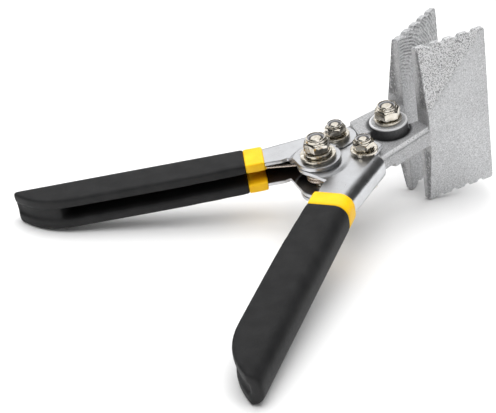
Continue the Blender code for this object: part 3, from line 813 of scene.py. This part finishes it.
def mouth_fill():
    """Vinyl that closes the channel's mouth towards the end of the grip."""
    start, end = TAPER_S + 4, REAR_S + VINYL - 0.6
    points = [(-start, MOUTH_DEEP_N)]
    for s in np.linspace(start + MOUTH_RAMP_S, end, 15):
        points.append((-s, free_edge(min(s, REAR_S)) - VINYL + 0.9))
    return prism(points + [(-end, MOUTH_DEEP_N)], -MOUTH_HALF, MOUTH_HALF)


def vinyl(front, rear, grow, voxel, smoothing, rear_end=False):
    """A dipped coat, with soft edges and a solid sleeve round the spring's leg."""
    reach = 20
    work = channel(front, rear, SHEET + 2 * grow)
    work = combine(work, prism(grip_outline(front - 1, rear + 1, grow), -reach, reach), "INTERSECT")
    if rear_end:
        work = combine(work, mouth_fill(), "UNION")
    sleeve_end = LEG_END + 3 if rear_end else rear + 0.9
    work = combine(work, leg_rod(SLEEVE_RADIUS + 0.1, front + 0.2, sleeve_end), "UNION")
    return remeshed(work, voxel, smoothing)


# ---------------------------------------------------------------- fasteners and spring

def hexagon(half_flats, low, high):
    return prism(arc((0, 0), half_flats / math.cos(math.pi / 6), 0, 300, 5), low, high)


def rounded_washer(size, bore):
    outer, thick = size
    r = 0.3
    quarter = np.linspace(0, math.pi / 2, 5)
    profile = [(bore, 0.05), (bore + 0.1, 0)]
    profile += [(outer - r + r * math.sin(a), r - r * math.cos(a)) for a in quarter]
    profile += [(outer - r + r * math.cos(a), thick - r + r * math.sin(a)) for a in quarter]
    profile += [(bore + 0.15, thick), (bore, thick - 0.1)]
    return turned(profile, 96)


def lock_nut(size):
    thread, half_flats, h, _ = size
    bore = thread + GAP
    corner = half_flats * CORNER_RATIO
    collar = half_flats * 0.86
    lip = thread + 0.45
    chamber = thread + 0.95
    profile = [(bore + 0.3, 0), (half_flats * 0.94, 0), (corner, 0.13 * h), (corner, 0.60 * h),
               (half_flats * 0.98, 0.71 * h), (collar + 0.1, 0.755 * h), (collar, 0.79 * h),
               (collar, 0.92 * h), (collar * 0.975, 0.965 * h), (collar * 0.93, 0.992 * h),
               (collar * 0.86, h), (lip + 0.15, 0.995 * h), (lip, 0.97 * h), (lip, 0.93 * h),
               (chamber, 0.93 * h), (chamber, 0.68 * h), (bore, 0.68 * h), (bore, 0.3)]
    work = combine(turned(profile, 96), hexagon(half_flats, -1, h + 1), "INTERSECT")
    return bevelled(work, 0.16, 2, 30)


def nut_ring(size):
    thread, _, h, _ = size
    inner, outer = thread + 0.1, thread + 0.85
    low, high = 0.68 * h + 0.1, 0.93 * h - 0.1
    return turned([(inner, low), (outer, low), (outer, high), (inner + 0.2, high), (inner, high - 0.2)], 72)


def bolt(size, head_top, end):
    thread, half_flats, _, head = size
    corner = half_flats * CORNER_RATIO
    low = head_top - head
    profile = [(0, low + 0.15), (half_flats * 0.6, low + 0.15), (half_flats * 0.66, low),
               (half_flats * 0.93, low), (corner, low + 0.9), (corner, head_top), (0, head_top)]
    work = combine(turned(profile, 96), hexagon(half_flats, low - 1, head_top + 1), "INTERSECT")
    work = bevelled(work, 0.16, 2, 30)
    shank = [(0, low + 1), (thread, low + 1)]
    z = max(head_top + 4, end - 12)
    while z < end - 1.0:
        shank += [(thread, z), (thread - THREAD_DEPTH, z + THREAD_PITCH / 2),
                  (thread, z + THREAD_PITCH - 0.05)]
        z += THREAD_PITCH
    shank += [(thread - 0.1, end - 0.75), (thread - 0.75, end - 0.12), (thread - 0.95, end), (0, end)]
    return combine(work, turned(shank, 64), "UNION")


def fastener_stack(prefix, suffix, size, washer_size, outer, place, body, turns, nickel, nylon,
                   wide=None):
    """Bolt from below, a washer at each end, a lock nut and its ring on top."""
    bore = size[0] + GAP
    upper = outer + GAP
    lower = -upper - washer_size[1]
    nut_turn, head_turn = turns
    parts = []
    if wide:
        parts.append(("washer_wide", rounded_washer(wide, bore), shift(0, 0, upper), 40))
        upper += wide[1] + GAP
    nut_low = upper + washer_size[1] + GAP
    parts += [
        ("bolt", bolt(size, lower - GAP, nut_low + size[2] - 0.5), turn(head_turn), 30),
        ("washer_bottom", rounded_washer(washer_size, bore), shift(0, 0, lower), 40),
        ("washer_top", rounded_washer(washer_size, bore), shift(0, 0, upper), 40),
        ("lock_nut", lock_nut(size), shift(0, 0, nut_low) @ turn(nut_turn), 30),
        ("nut_insert", nut_ring(size), shift(0, 0, nut_low), 40)]
    for name, work, matrix, sharp in parts:
        node = prefix + "_" + name + suffix
        slot, material = ("nylon", nylon) if name == "nut_insert" else ("fastener_steel", nickel)
        piece("look_" + node, work, place @ matrix, body, [node], material, sharp)
        discard(work)


def spring_path():
    """Leg in handle a, coil, and leg in handle b, which is the first leg turned over."""
    angle = math.radians(LEG_ANGLE)
    leg = turn(-HANDLE_OPEN) @ Vector((-math.cos(angle), math.sin(angle), 0))
    start = math.atan2(-leg.x, leg.y)
    sweep = 2 * start + COIL_TURNS * 2 * math.pi
    count = 56 * COIL_TURNS
    steps = 10
    touch = Vector((math.cos(start), math.sin(start), 0)) * COIL_RADIUS
    points = [touch + leg * (LEG_END * (steps - i) / steps) + Vector((0, 0, LEG_Z)) for i in range(steps)]
    for i in range(count + 1):
        angle = start - sweep * i / count
        points.append(Vector((math.cos(angle) * COIL_RADIUS, math.sin(angle) * COIL_RADIUS,
                              LEG_Z - 2 * LEG_Z * i / count)))
    return points + [Vector((p.x, -p.y, -p.z)) for p in reversed(points[:steps])]


def torsion_spring():
    data = bpy.data.curves.new("spring", "CURVE")
    data.dimensions = "3D"
    data.bevel_depth = WIRE_RADIUS
    data.bevel_resolution = 5
    data.use_fill_caps = True
    points = spring_path()
    spline = data.splines.new("POLY")
    spline.points.add(len(points) - 1)
    for point, co in zip(spline.points, points):
        point.co = (*co, 1)
    return weld(bake(new_object("spring", data)))


# ---------------------------------------------------------------- assembly

def build_tool():
    cast = cast_material()
    plated = plated_material()
    nickel = nickel_material()
    wire = wire_material()
    nylon = nylon_material()
    black = vinyl_material("black_vinyl", (0.009, 0.009, 0.0095), (0.015, 0.015, 0.0155), 0.6)
    yellow = vinyl_material("yellow_vinyl", (0.92, 0.50, 0.004), (1.0, 0.60, 0.008), 0.42)
    fine = 1.0
    jaw_work = jaw()
    handle_work = handle()
    band_work = vinyl(BAND_FRONT_S, BAND_REAR_S + 0.3, VINYL - 0.06, 0.3 * fine, 40)
    grip_work = vinyl(BAND_REAR_S, REAR_S + VINYL, VINYL, 0.42 * fine, 40, True)
    for k, (side, _) in SIDES.items():
        handle_body = "handle_" + k
        in_handle = HANDLE_FRAME[k]
        piece("look_jaw_" + k, jaw_work, JAW_FRAME[k], "jaw_" + k, ["jaw_" + k], cast)
        piece("look_handle_" + k, handle_work, in_handle, handle_body, ["handle_" + k],
              plated)
        piece("look_band_" + k, band_work, in_handle, handle_body, ["band_" + k], yellow)
        piece("look_grip_" + k, grip_work, in_handle, handle_body, ["grip_" + k], black)
        fastener_stack("link", "_" + k, SMALL, SMALL_WASHER, FLANGE_MID + SHEET / 2,
                       TOOL @ shift(-LINK_BACK, side * LINK_SIDE), handle_body, LINK_TURNS[k], nickel, nylon)
    discard(jaw_work, handle_work, band_work, grip_work)
    fastener_stack("jaw", "", LARGE, LARGE_WASHER, JAW_EYE_TOP, TOOL, "jaw_a", JAW_TURNS, nickel, nylon)
    hinge = TOOL @ shift(-HINGE_BACK, 0)
    hinge_outer = FLANGE_MID + OUTER_EYE_STEP + SHEET / 2
    fastener_stack("hinge", "", LARGE, LARGE_WASHER, hinge_outer, hinge, "handle_a", HINGE_TURNS, nickel,
                   nylon, WIDE_WASHER)
    spring = torsion_spring()
    look = piece("look_torsion_spring", spring, hinge, "handle_a", ["torsion_spring"],
                 wire, 60)
    discard(spring)
    # The leg in handle_b is part of the same mesh; the spring is taken off handle_a's body and left fixed in
    # place.
    world = look.matrix_world.copy()
    look.parent = None
    look.matrix_world = world
    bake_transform(look)


def build_stage():
    """White floor, softboxes, two fills that don't show in reflections, and a dim room."""
    mesh = bpy.data.meshes.new("floor")
    size = 3.0
    corners = [(-size, -size, 0), (size, -size, 0), (size, size, 0), (-size, size, 0)]
    mesh.from_pydata(corners, [], [(0, 1, 2, 3)])
    floor = new_object("floor", mesh)
    m = Shader("floor_white", (0.86, 0.86, 0.86), 0.0, 0.9)
    m.main.inputs["Specular IOR Level"].default_value = 0.1
    mesh.materials.append(m.material)

    def area(name, location, size_x, size_y, radiance, reflected=True):
        data = bpy.data.lights.new(name, "AREA")
        data.shape = "RECTANGLE"
        data.size, data.size_y = size_x, size_y
        data.energy = radiance * math.pi * size_x * size_y
        obj = new_object(name, data)
        obj.location = location
        obj.rotation_euler = (-Vector(location)).to_track_quat("-Z", "Y").to_euler()
        obj.visible_glossy = reflected

    area("rear_softbox", (0.35, 0.75, 0.62), 1.5, 0.8, 1.15)
    area("left_strip", (-0.9, -0.15, 0.4), 0.3, 0.7, 1.3)
    area("top_softbox", (-0.05, -0.1, 1.1), 0.9, 0.9, 1.3)
    area("overhead_fill", (-0.1, 0.05, 1.2), 2.0, 2.0, 2.25, reflected=False)
    area("front_fill", (0.45, -0.9, 0.55), 0.8, 0.6, 1.3, reflected=False)
    world = bpy.data.worlds.new("room")
    world.use_nodes = True
    world.node_tree.nodes["Background"].inputs["Color"].default_value = (0.05, 0.05, 0.05, 1)
    bpy.context.scene.world = world
    bpy.context.scene.view_settings.view_transform = "Standard"


def build_camera():
    azimuth, elevation, roll = (math.radians(v) for v in (CAM_AZIMUTH, CAM_ELEVATION, CAM_ROLL))
    back = Vector((math.sin(azimuth) * math.cos(elevation), -math.cos(azimuth) * math.cos(elevation),
                   math.sin(elevation)))
    right = Vector((0, 0, 1)).cross(back).normalized()
    up = back.cross(right)
    right, up = (right * math.cos(roll) + up * math.sin(roll), up * math.cos(roll) - right * math.sin(roll))
    place = right * CAM_SHIFT[0] + up * CAM_SHIFT[1] + back * CAM_DISTANCE
    turned_axes = Matrix((right, up, back)).transposed().to_4x4()
    data = bpy.data.cameras.new("photo_camera")
    data.lens = CAM_LENS
    data.sensor_width = 36
    data.clip_start, data.clip_end = 0.05, 20
    camera = new_object("photo_camera", data)
    rotation = (TOOL @ Matrix.Scale(1000, 4)).to_3x3() @ turned_axes.to_3x3()
    camera.matrix_world = Matrix.Translation(TOOL @ place) @ rotation.to_4x4()
    bpy.context.scene.camera = camera


build_tool()
build_stage()
build_camera()
